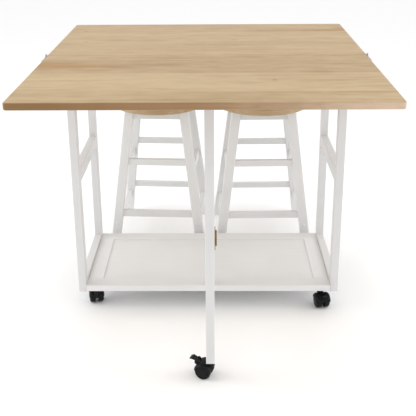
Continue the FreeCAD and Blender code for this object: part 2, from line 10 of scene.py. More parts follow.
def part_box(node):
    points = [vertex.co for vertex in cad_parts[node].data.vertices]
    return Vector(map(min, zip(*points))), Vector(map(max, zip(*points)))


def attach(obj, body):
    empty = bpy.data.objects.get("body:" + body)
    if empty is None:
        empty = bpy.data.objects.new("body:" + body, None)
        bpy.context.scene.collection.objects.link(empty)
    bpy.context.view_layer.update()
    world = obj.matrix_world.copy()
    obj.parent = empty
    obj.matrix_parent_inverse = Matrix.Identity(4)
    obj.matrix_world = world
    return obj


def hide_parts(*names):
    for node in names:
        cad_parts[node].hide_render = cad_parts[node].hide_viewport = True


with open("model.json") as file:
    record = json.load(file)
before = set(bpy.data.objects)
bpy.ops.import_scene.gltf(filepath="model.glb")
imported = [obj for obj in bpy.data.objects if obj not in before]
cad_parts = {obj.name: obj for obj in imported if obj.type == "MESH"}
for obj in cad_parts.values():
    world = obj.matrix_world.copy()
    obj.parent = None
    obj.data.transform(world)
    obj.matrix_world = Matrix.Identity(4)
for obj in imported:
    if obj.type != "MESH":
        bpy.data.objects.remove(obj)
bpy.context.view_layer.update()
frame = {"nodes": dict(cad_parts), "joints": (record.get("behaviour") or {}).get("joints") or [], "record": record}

bl_info = {
    "name": "Rolling kitchen table",
    "version": (1, 0, 0),
    "blender": (4, 5, 0),
    "location": "View3D > Sidebar > Table",
    "description": "Finishes, fittings and stage for a rolling kitchen table with two stools",
    "category": "Object",
}

TOP_LOW, TOP_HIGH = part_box("fixed_top")
LEAF_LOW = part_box("folding_leaf")[0]
TOP_Z = TOP_HIGH.z
JOINTS = {joint["name"]: joint for joint in frame["joints"]}
CASTERS = ("gate", "front_left", "front_right", "back_left", "back_right")
BODY_OF = {node: body for body, nodes in frame["record"]["behaviour"]["bodies"].items() for node in nodes}
SLOT_OF = {part["node"]: part["material_slot"] for part in frame["record"]["subparts"]}


# Sizes and colours that a user would change

def length(name, description, default):
    """A length property in metres."""
    return bpy.props.FloatProperty(name=name, description=description, default=default, min=0,
                                   unit="LENGTH")


def light_level(name, description, default):
    """The strength of a light."""
    return bpy.props.FloatProperty(name=name, description=description, default=default, min=0)


def colour(name, description, default):
    """A linear colour property."""
    return bpy.props.FloatVectorProperty(name=name, description=description, default=default, size=3,
                                         min=0, max=1, subtype="COLOR")


class TableFinish(bpy.types.PropertyGroup):
    """Colours of the table's finishes."""
    wood_pale: colour("Pale wood", "Sapwood of the top", (0.537, 0.390, 0.214))
    wood_mid: colour("Grain", "Darker lines of the wood's grain", (0.330, 0.203, 0.084))
    wood_heart: colour("Heartwood", "Brown figure and warm streaks in the top", (0.36, 0.178, 0.040))
    wood_edge: colour("Board edge", "Darker stained edge of the boards", (0.315, 0.175, 0.088))
    # The dark edge colour is painted shade on the left end of the leaf's front edge, and also the colour of the
    # grain's streaks on the edges; the pale edge colour is a painted highlight on its right end.
    edge_shade_and_grain: colour("Dark edge", "Brown left end of the leaf's front edge", (0.223, 0.118, 0.046))
    edge_highlight: colour("Pale edge", "Pale right end of the leaf's front edge", (0.66, 0.50, 0.37))
    seat_pale: colour("Pale seat", "Wood of the stool seats", (0.52, 0.385, 0.23))
    paint: colour("Paint", "White satin paint of the cart and the gate", (0.69, 0.686, 0.687))
    # The shelf and stool paints are the frame's white paint made lighter: painted light in the shade under the
    # top.
    shelf_paint: colour("Shelf paint", "White satin paint of the shelf", (0.775, 0.775, 0.773))
    stool_paint: colour("Stool paint", "White satin paint of the stool frames", (0.77, 0.77, 0.768))
    brass: colour("Brass", "Aged brass of the gate's hinges", (0.34, 0.225, 0.085))
    steel: colour("Steel", "Zinc plate on the caster fittings and the leaf's hinges", (0.48, 0.49, 0.50))
    plastic: colour("Plastic", "Black moulded hoods and levers", (0.006, 0.006, 0.0065))
    tread: colour("Wheels", "Black moulded wheels", (0.006, 0.006, 0.0062))


class TableSizes(bpy.types.PropertyGroup):
    """Sizes of the fittings that are made here."""
    hinge_screw: length("Hinge screw", "Radius of the gate hinges' screw heads", 0.0032)
    arm_screw: length("Arm screw", "Radius of the leaf hinges' screw heads", 0.0024)
    plate_screw: length("Plate screw", "Radius of the caster plates' screw heads", 0.0034)
    leg_cap: length("Leg cap", "Radius of the screw caps on the stool legs", 0.0045)
    cap_height: length("Cap height", "Height of the screw caps on the stool legs", 0.088)
    hood_round: length("Hood rounding", "Rounding of a hood's sides over the wheels", 0.009)
    hood_wall: length("Hood wall", "Thickness of a hood's fender", 0.0016)
    hood_gap: length("Hood gap", "Air between a hood's fender and its wheels", 0.0008)
    hood_web: length("Hood web", "Radius of a hood's fin round the axle", 0.011)
    boss_radius: length("Boss", "Radius of a hood's swivel boss", 0.009)
    ear_radius: length("Ear", "Radius of the ears that hold a brake lever", 0.0055)
    seat_round: length("Seat edge", "Rounding of a seat's edges", 0.006)


class StageSettings(bpy.types.PropertyGroup):
    """Floor, light and camera."""
    floor_size: length("Floor", "Side of the square floor", 30.0)
    floor_colour: colour("Floor colour", "Plain pale floor", (0.96, 0.96, 0.96))
    sky: light_level("Sky", "Strength of the even light all round", 1.0)
    left: light_level("Left light", "Power of the soft light on the left, in watts", 30)
    right: light_level("Right light", "Power of the soft light on the right, in watts", 24)
    softbox_size: length("Soft lights", "Diameter of the soft lights", 2.0)
    softbox_side: length("Soft lights' side", "Distance of the soft lights from the middle", 2.6)
    softbox_ahead: length("Soft lights ahead", "Distance of the soft lights towards the viewer", 0.2)
    softbox_height: length("Soft lights' height", "Height of the soft lights", 1.4)
    aim_height: length("Aim", "Height at which the soft lights are aimed", 0.35)


# Meshes from grids of points

SAME_POINT = 1e-7
NO_LENGTH = 1e-8
CREASE = math.radians(38)
ROUND_SIDES = 32


def grid_faces(rows, columns, closed):
    """Quads between neighbours of a grid of points, going round along its columns where it is closed."""
    i = np.arange(rows - 1)
    j = np.arange(columns if closed else columns - 1)
    i, j = np.meshgrid(i, j, indexing="ij")
    k = i + 1
    n = (j + 1) % columns
    return np.stack([i * columns + j, k * columns + j, k * columns + n, i * columns + n], -1).reshape(-1, 4)


def mesh_piece(name, grids, closed=True):
    """One object from grids of points, with poles merged, faces turned outwards and creases kept sharp."""
    grids = [np.asarray(grid, float) for grid in grids]
    starts = np.cumsum([0] + [grid.shape[0] * grid.shape[1] for grid in grids])
    points = np.concatenate([grid.reshape(-1, 3) for grid in grids])
    quads = [grid_faces(*grid.shape[:2], closed) + start for grid, start in zip(grids, starts)]
    mesh = bpy.data.meshes.new(name)
    mesh.from_pydata(points.tolist(), [], np.concatenate(quads).tolist())
    work = bmesh.new()
    work.from_mesh(mesh)
    bmesh.ops.remove_doubles(work, verts=work.verts, dist=SAME_POINT)
    bmesh.ops.dissolve_degenerate(work, edges=work.edges, dist=NO_LENGTH)
    bmesh.ops.recalc_face_normals(work, faces=work.faces)
    work.to_mesh(mesh)
    work.free()
    mesh.polygons.foreach_set("use_smooth", np.ones(len(mesh.polygons), bool))
    mesh.set_sharp_from_angle(angle=CREASE)
    piece = bpy.data.objects.new(name, mesh)
    bpy.context.scene.collection.objects.link(piece)
    return piece


def frame_of(normal):
    """Two unit vectors square to a normal, and the normal itself, as rows."""
    nearly_upright = 0.9
    n = np.asarray(normal, float)
    n = n / np.linalg.norm(n)
    side = np.cross(n, (0, 0, 1) if abs(n[2]) < nearly_upright else (1, 0, 0))
    side = side / np.linalg.norm(side)
    return np.stack([side, np.cross(n, side), n])


def screw_head(centre, normal, radius, turn):
    """Head of a cross-slot screw: height = dome * (1 - s^2), less a cross-shaped well near the middle.

    s is the radius share from 0 to 1; the last ring drops into the piece below. All heights are shares
    of the radius.
    """
    dome, rim, slot_half, slot_reach, slot_depth, sink = 0.34, 0.06, 0.13, 0.6, 0.30, 0.3
    shares = np.array([0, 0.12, 0.2, 0.32, 0.44, 0.56, 0.62, 0.78, 0.92, 1.0, 1.0])
    rings = np.linspace(0, 2 * math.pi, ROUND_SIDES, endpoint=False)
    s, a = np.meshgrid(shares, rings, indexing="ij")
    x = s * np.cos(a)
    y = s * np.sin(a)
    slot = np.minimum(np.abs(x), np.abs(y)) < slot_half
    well = np.where(slot & (s < slot_reach), slot_depth, 0.0)
    rise = radius * (dome * (1 - s ** 2) + rim - well)
    rise[-1] = -sink * radius
    axes = frame_of(normal)
    spin = np.array([[math.cos(turn), math.sin(turn)], [-math.sin(turn), math.cos(turn)]])
    flat = radius * np.stack([x, y], -1) @ spin
    return np.asarray(centre) + flat @ axes[:2] + rise[..., None] * axes[2]


def dome_cap(centre, normal, radius):
    """A push-in cover cap: height = rim + dome * sqrt(1 - s^4) over a disc, in shares of its radius.

    s is the radius share from 0 to 1; the last ring drops into the piece below.
    """
    dome, rim, sink = 0.38, 0.10, 0.2
    shares = np.array([0, 0.25, 0.5, 0.7, 0.84, 0.93, 0.985, 1.0, 1.0])
    rings = np.linspace(0, 2 * math.pi, ROUND_SIDES, endpoint=False)
    s, a = np.meshgrid(shares, rings, indexing="ij")
    rise = radius * (rim + dome * np.sqrt(1 - s ** 4))
    rise[-1] = -sink * radius
    axes = frame_of(normal)
    flat = radius * np.stack([s * np.cos(a), s * np.sin(a)], -1)
    return np.asarray(centre) + flat @ axes[:2] + rise[..., None] * axes[2]


def turned(centre, axis, profile, count=72):
    """A profile of (radius, place along the axis) turned once round an axis through a centre."""
    axes = frame_of(axis)
    a = np.linspace(0, 2 * math.pi, count, endpoint=False)
    ring = np.cos(a)[:, None] * axes[0] + np.sin(a)[:, None] * axes[1]
    radius, along = np.asarray(profile, float).T
    return np.asarray(centre) + radius[:, None, None] * ring + along[:, None, None] * axes[2]


def arc(centre_radius, centre_along, size, start, end, count=7):
    """Points of a rounded corner of a profile, between two angles in degrees from the radius direction."""
    a = np.radians(np.linspace(start, end, count))
    return np.stack([centre_radius + size * np.cos(a), centre_along + size * np.sin(a)], -1)


# Shader maths

class Shade:
    """A shader value. Arithmetic on it adds Math nodes to its material."""

    def __init__(self, recipe, socket):
        self.recipe = recipe
        self.socket = socket

    def math(self, operation, *terms):
        """A Math node on this value and others."""
        return self.recipe.node("ShaderNodeMath", {"operation": operation},
                                dict(enumerate((self, *terms))))

    def __add__(self, other):
        return self.math("ADD", other)

    def __sub__(self, other):
        return self.math("SUBTRACT", other)

    def __rsub__(self, other):
        return self.recipe.value(other, "SUBTRACT", self)

    def __mul__(self, other):
        return self.math("MULTIPLY", other)

    def __truediv__(self, other):
        return self.math("DIVIDE", other)

    __radd__ = __add__
    __rmul__ = __mul__

    def above(self, edge):
        """1 where the value is over an edge, else 0."""
        return self.math("GREATER_THAN", edge)

    def ramp(self, low, high):
        """Smooth step from 0 at low to 1 at high."""
        settings = {"interpolation_type": "SMOOTHSTEP"}
        sockets = {"Value": self, "From Min": low, "From Max": high}
        return self.recipe.node("ShaderNodeMapRange", settings, sockets)


class Recipe:
    """A material made from nodes, with one Principled shader."""

    def __init__(self, name):
        self.material = bpy.data.materials.new(name)
        self.material.use_nodes = True
        self.tree = self.material.node_tree
        self.tree.nodes.clear()
        self.shader = self.tree.nodes.new("ShaderNodeBsdfPrincipled")
        output = self.tree.nodes.new("ShaderNodeOutputMaterial")
        self.tree.links.new(self.shader.outputs[0], output.inputs[0])
        self.place = self.node("ShaderNodeTexCoord", out="Object")
        split = self.tree.nodes.new("ShaderNodeSeparateXYZ")
        self.tree.links.new(self.place.socket, split.inputs[0])
        self.x, self.y, self.z = (Shade(self, socket) for socket in split.outputs)

    def feed(self, socket, item):
        """Link a shade to a socket, or set a plain value."""
        if isinstance(item, Shade):
            self.tree.links.new(item.socket, socket)
            return
        if socket.type == "RGBA" and len(item) == 3:
            item = (*item, 1.0)
        socket.default_value = item

    def node(self, kind, settings=None, sockets=None, out=0):
        """Any node: its settings first, then the values or links of its sockets."""
        made = self.tree.nodes.new(kind)
        for name, setting in (settings or {}).items():
            setattr(made, name, setting)
        for key, item in (sockets or {}).items():
            self.feed(made.inputs[key], item)
        return Shade(self, made.outputs[out])

    def value(self, number, operation, other):
        """A Math node whose first value is a number."""
        return self.node("ShaderNodeMath", {"operation": operation}, {0: number, 1: other})

    def point(self, x, y, z):
        """A vector from three values."""
        return self.node("ShaderNodeCombineXYZ", None, {0: x, 1: y, 2: z})

    def noise(self, where, scale=1.0, detail=3.0, rough=0.5):
        """Noise from 0 to 1 at a place."""
        sockets = {"Vector": where, "Scale": scale, "Detail": detail, "Roughness": rough}
        return self.node("ShaderNodeTexNoise", {"noise_dimensions": "3D"}, sockets)

    def mix(self, share, first, second):
        """First colour where the share is 0, second where it is 1."""
        factor, colour_a, colour_b, colour_out = 0, 6, 7, 2
        sockets = {factor: share, colour_a: first, colour_b: second}
        return self.node("ShaderNodeMix", {"data_type": "RGBA"}, sockets, out=colour_out)

    def bump(self, height, strength, distance):
        """A normal from a height."""
        sockets = {"Height": height, "Strength": strength, "Distance": distance}
        return self.node("ShaderNodeBump", None, sockets)

    def finish(self, **sockets):
        """Feed the shader's sockets, with spaces written as underscores, and give the material."""
        for name, item in sockets.items():
            self.feed(self.shader.inputs[name.replace("_", " ")], item)
        return self.material


# Glue lines of the top: share of the depth from the back edge, and how much darker the next board is
FIRST_TONE = 0.06
GLUE_LINES = ((0.143, -0.14), (0.305, 0.06), (0.5, 0.16), (0.717, -0.32), (0.903, 0.30))

# Layers of the figure: counts per metre along the grain, across it and down, a board's shifts along and
# across, and the noise's detail and roughness
LAYERS = {
    "broad": (2.2, 19.0, 20.0, 5.0, 17.0, 2.0, 0.5),
    "band": (3.0, 44.0, 30.0, 9.0, 11.0, 3.0, 0.55),
    "fine": (4.5, 120.0, 120.0, 2.0, 0.0, 4.0, 0.62),
    "fibre": (22.0, 620.0, 620.0, 0.0, 0.0, 2.0, 0.6),
    "flecks": (55.0, 900.0, 200.0, 3.0, 0.0, 1.0, 0.5),
}

# Layers that differ from board to board: counts per metre along and across, a board's step, and the detail
BOARD_LAYERS = {
    "wander": (3.2, 10.0, 3.7, 3.0),
    "patch": (2.6, 6.0, 6.0, 1.0),
    "mottle": (17.0, 38.0, 4.0, 2.0),
}

# Spots of the figure: place from the left and from the back, half width and half depth, all in shares of
# the top, then the strength
HEART = (0.02, 0.632, 0.26, 0.055)
HEART_SPOTS = ((0.20, 0.640, 0.16, 0.012, 0.80), (0.27, 0.660, 0.10, 0.009, 0.80),
               (0.17, 0.690, 0.08, 0.012, 0.4), (0.40, 0.625, 0.06, 0.012, 0.25),
               (0.04, 0.595, 0.12, 0.020, 0.5))
STREAKS = ((0.94, 0.120, 0.24, 0.026, 0.9), (0.99, 0.090, 0.06, 0.03, 0.6), (0.86, 0.797, 0.22, 0.014, 0.5),
           (0.92, 0.912, 0.18, 0.011, 0.6), (0.12, 0.80, 0.18, 0.012, 0.4), (0.95, 0.508, 0.16, 0.007, 0.5),
           (0.20, 0.03, 0.32, 0.012, 0.25), (0.52, 0.94, 0.30, 0.014, 0.15))
PALE_SPOTS = ((0.97, 0.96, 0.30, 0.07, 0.28), (0.06, 0.97, 0.30, 0.05, 0.12))
KNOT_SIZE = 0.012
KNOTS = ((0.058, 0.125), (0.088, 0.305), (0.594, 0.28), (0.69, 0.797))


def top_wood(finish):
    """Pale lacquered boards glued edge to edge, grain along X, with heartwood, warm streaks and knots.

    Each board shifts the noise by its number, so the grain breaks at the glue lines. The edges are
    darker, and the leaf's front edge goes from a painted brown shade on the left to a pale painted highlight on
    the right.
    """
    seam_core, seam_edge = 0.0004, 0.0012
    bend = 0.075
    base_tone = 0.34
    upper_fade, lower_fade = (0.0003, 0.0014), (0.0152, 0.0160)
    # The front zone marks the leaf's front face; the dark and pale ends are the spans of its painted shade and its
    # painted highlight.
    front_zone, shade_span, highlight_span = (0.975, 0.99), (0.05, 0.45), (0.40, 1.0)
    r = Recipe("top_wood")
    s = (TOP_HIGH.y - r.y) / (TOP_HIGH.y - LEAF_LOW.y)
    w = (r.x - TOP_LOW.x) / (TOP_HIGH.x - TOP_LOW.x)
    board, tint, seams = 0, FIRST_TONE, 0
    for share, change in GLUE_LINES:
        past = s.above(share)
        board = board + past
        tint = tint + past * change
        seams = seams + (1 - (s - share).math("ABSOLUTE").ramp(seam_core, seam_edge))

    def layer(name, line):
        """A noise drawn out along the boards, at a place across them."""
        along, across, down, step, sidestep, detail, rough = LAYERS[name]
        place = r.point(r.x * along + board * step, line * across + board * sidestep, r.z * down)
        return r.noise(place, 1.0, detail, rough)

    def board_layer(name, line):
        """A noise that has another slice for each board."""
        along, across, step, detail = BOARD_LAYERS[name]
        return r.noise(r.point(r.x * along, line * across, board * step), 1.0, detail)

    wander = board_layer("wander", r.y) - 0.5
    bent = r.y + wander * bend
    broad = layer("broad", bent)
    band = layer("band", bent).ramp(0.46, 0.60)
    fine = layer("fine", bent)
    fibre = layer("fibre", r.y)
    flecks = layer("flecks", r.y).ramp(0.64, 0.75)
    patch = board_layer("patch", r.y).ramp(0.46, 0.66)
    mottle = board_layer("mottle", bent)

    def smudge(at_w, at_s, size_w, size_s, strength=1.0, ragged=0.6):
        """A soft ragged patch: 1 less a smooth step of the distance over its size, times a strength."""
        core, drift = 0.15, 0.02
        ww = (w - at_w) / size_w
        ss = (s - at_s + wander * drift) / size_s
        reach = (ww * ww + ss * ss).math("SQRT") + (fine - 0.5) * ragged + (broad - 0.5) * ragged
        return (1 - reach.ramp(core, 1.0)) * strength

    heart = smudge(*HEART) * (0.62 + fine.ramp(0.42, 0.60) * 0.5)
    heart = heart + sum(smudge(*spot, ragged=1.0) for spot in HEART_SPOTS)
    streak = sum(smudge(*spot) for spot in STREAKS)
    pale = sum(smudge(*spot) for spot in PALE_SPOTS)
    knots = sum(smudge(*spot, KNOT_SIZE, KNOT_SIZE, ragged=0.2) for spot in KNOTS)
    dark = (base_tone + tint - pale + (broad - 0.5) * 0.7 + band * patch * 0.30 + (fine - 0.5) * 1.0
            + (fibre - 0.5) * 0.3 + (mottle - 0.5) * 0.7 + flecks * 0.15)
    dark = dark.math("MINIMUM", 1.0).math("MAXIMUM", 0.0)
    body = r.mix(dark, tuple(finish.wood_pale), tuple(finish.wood_mid))
    warm = (heart + streak * 0.8 + knots * 0.6).math("MINIMUM", 0.85)
    body = r.mix(warm, body, tuple(finish.wood_heart))
    body = r.mix(seams * 0.25, body, tuple(finish.wood_heart))
    under = TOP_Z - r.z
    edge = under.ramp(*upper_fade) * (1 - under.ramp(*lower_fade))
    front = s.ramp(*front_zone)
    streaky = ((fine - 0.5) * 1.6 + fibre * 0.5).math("MAXIMUM", 0.0).math("MINIMUM", 1.0)
    # Painted light on the leaf's front face: shade towards the left end, a highlight towards the right end.
    painted_shade_end = (1 - w.ramp(*shade_span)) * front
    painted_highlight_end = w.ramp(*highlight_span) * front
    edge_grain = r.mix(painted_shade_end, tuple(finish.wood_edge), tuple(finish.edge_shade_and_grain))
    edge_grain = r.mix(painted_highlight_end, edge_grain, tuple(finish.edge_highlight))
    edge_grain = r.mix(streaky * 0.6, edge_grain, tuple(finish.edge_shade_and_grain))
    body = r.mix(edge * 0.85, body, edge_grain)
    height = fine * 0.35 + fibre * 0.5 - flecks * 0.6 - seams * 0.8
    return r.finish(
        Base_Color=body,
        Roughness=0.40 + fibre * 0.10 + flecks * 0.12,
        Specular_IOR_Level=0.28,
        Normal=r.bump(height, strength=0.12, distance=0.0006),
    )


def seat_wood(finish):
    """Round seats turned from glued staves of the same wood, grain along X. All counts are per metre."""
    staves = 17.0
    r = Recipe("seat_wood")
    stave = (r.y * staves).math("FLOOR")
    tint = r.noise(r.point(stave * 5.3, 1.0, 0.0), 1.0, 0.0)
    wander = r.noise(r.point(r.x * 3.0, r.y * 12.0, stave * 2.0), 1.0, 2.0)
    rings = r.noise(r.point(r.x * 2.5 + stave * 4.0, r.y * 70.0 + wander * 3.0, r.z * 60.0), 1.0, 4.0, 0.55)
    fibre = r.noise(r.point(r.x * 30.0, r.y * 700.0, r.z * 700.0), 1.0, 2.0, 0.6)
    dark = (rings.ramp(0.40, 0.72) * 0.55 + fibre * 0.3 + (tint - 0.5) * 0.8).math("MAXIMUM", 0.0)
    body = r.mix(dark.math("MINIMUM", 1.0), tuple(finish.seat_pale), tuple(finish.wood_mid))
    return r.finish(
        Base_Color=body,
        Roughness=0.40 + fibre * 0.10,
        Specular_IOR_Level=0.28,
        Normal=r.bump(rings * 0.4 + fibre * 0.5, strength=0.12, distance=0.0006),
    )


def white_paint(name, base, run):
    """Satin paint on sawn bars: faint grain along the bar, slight orange peel and thinner patches.

    The grain's counts per metre are low along the bar and high across it.
    """
    thinning = 0.91
    along, across = 6.0, 170.0
    r = Recipe("%s_%s" % (name, run.lower()))
    thin = tuple(channel * thinning for channel in base)
    counts = [along if axis == run else across for axis in "XYZ"]
    drawn_out = r.point(*(axis * count for axis, count in zip((r.x, r.y, r.z), counts)))
    grain = r.noise(drawn_out, 1.0, 3.0, 0.6)
    peel = r.noise(r.place, 900.0, 2.0, 0.5)
    patches = r.noise(r.place, 9.0, 3.0, 0.5)
    share = (grain.ramp(0.45, 0.80) * 0.30 + patches.ramp(0.35, 0.75) * 0.30)
    return r.finish(
        Base_Color=r.mix(share, tuple(base), thin),
        Roughness=0.30 + patches * 0.12,
        Normal=r.bump(grain * 0.6 + peel * 0.4, strength=0.10, distance=0.0004),
    )


def metal(name, base, rough, brushed):
    """Plated or polished metal with fine level scratches, brushed times per metre, and a little tarnish."""
    level = 9.0
    tarnish = 0.62
    r = Recipe(name)
    scratch = r.noise(r.point(r.x * brushed, r.y * brushed, r.z * brushed * level), 1.0, 3.0, 0.65)
    stain = r.noise(r.place, 160.0, 3.0, 0.55)
    darker = tuple(channel * tarnish for channel in base)
    return r.finish(
        Base_Color=r.mix(stain.ramp(0.45, 0.85) * 0.55, tuple(base), darker),
        Metallic=1.0,
        Roughness=rough + scratch * 0.16 + stain * 0.08,
        Normal=r.bump(scratch, strength=0.06, distance=0.0002),
    )


def moulded(name, base, rough):
    """Black moulded plastic: fine grain, greyer where it is scuffed."""
    greying = 0.012
    r = Recipe(name)
    grain = r.noise(r.place, 1400.0, 2.0, 0.6)
    scuff = r.noise(r.place, 70.0, 4.0, 0.6)
    grey = tuple(channel + greying for channel in base)
    return r.finish(
        Base_Color=r.mix(scuff.ramp(0.52, 0.85) * 0.6, tuple(base), grey),
        Roughness=rough + scuff * 0.16,
        Specular_IOR_Level=0.16,
        Normal=r.bump(grain * 0.7 + scuff * 0.3, strength=0.10, distance=0.0003),
    )


def give(piece, material):
    """Set a piece's only material."""
    piece.data.materials.clear()
    piece.data.materials.append(material)


def add(piece, material, body):
    """Finish a new piece: its material and the body it rides on."""
    give(piece, material)
    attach(piece, body)
    return piece


def long_way(node):
    """The axis along which a node is longest."""
    low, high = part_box(node)
    size = high - low
    return "XYZ"[max(range(3), key=lambda i: size[i])]


# Operators, one for each group of pieces

class TABLE_OT_boards(bpy.types.Operator):
    """Give the fixed top and the leaf their wood"""
    bl_idname = "table.boards"
    bl_label = "Finish the boards"

    def execute(self, context):
        wood = top_wood(context.scene.table_finish)
        for node, slot in SLOT_OF.items():
            if slot == "top_wood":
                give(frame["nodes"][node], wood)
        return {"FINISHED"}


class TABLE_OT_seats(bpy.types.Operator):
    """Turn the stools' round seats"""
    bl_idname = "table.seats"
    bl_label = "Turn the seats"

    def execute(self, context):
        wood = seat_wood(context.scene.table_finish)
        for node, slot in SLOT_OF.items():
            if slot == "seat_wood":
                seat = self.seat(node, context.scene.table_sizes.seat_round)
                add(seat, wood, BODY_OF[node])
        return {"FINISHED"}

    def seat(self, node, size):
        """A disc turned round its upright axis, flat above and below, with round edges."""
        low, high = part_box(node)
        radius = (high.x - low.x) / 2
        thick = high.z - low.z
        shares = np.array([0.0, 0.5, 0.9, 0.99])
        flat = shares * (radius - size)
        profile = np.concatenate([
            np.stack([flat, np.zeros_like(flat)], -1),
            arc(radius - size, size, size, -90, 0, 8),
            arc(radius - size, thick - size, size, 0, 90, 8),
            np.stack([flat[::-1], np.full_like(flat, thick)], -1),
        ])
        centre = ((low.x + high.x) / 2, (low.y + high.y) / 2, low.z)
        piece = mesh_piece("turned_" + node, [turned(centre, (0, 0, 1), profile, count=160)])
        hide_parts(node)
        return piece


class TABLE_OT_paint(bpy.types.Operator):
    """Paint the cart, the gate and the stool frames white"""
    bl_idname = "table.paint"
    bl_label = "Paint the frames"

    def execute(self, context):
        finish = context.scene.table_finish
        coats = ("paint", "shelf_paint", "stool_paint")
        paints = {(name, run): white_paint(name, getattr(finish, name), run)
                  for name in coats for run in "XYZ"}
        runs = {"side_rungs": "Y", "front_and_back_rungs": "X", "aprons": "X", "legs": "Z", "panel": "X"}
        for node, slot in SLOT_OF.items():
            if slot != "white_paint":
                continue
            run = next((way for ending, way in runs.items() if node.endswith(ending)), None)
            # The shelf and the stools take the lighter copies of the white paint: painted light in the shade under
            # the top.
            name = "stool_paint" if "stool" in node else "shelf_paint" if "shelf" in node else "paint"
            give(frame["nodes"][node], paints[name, run or long_way(node)])
        return {"FINISHED"}


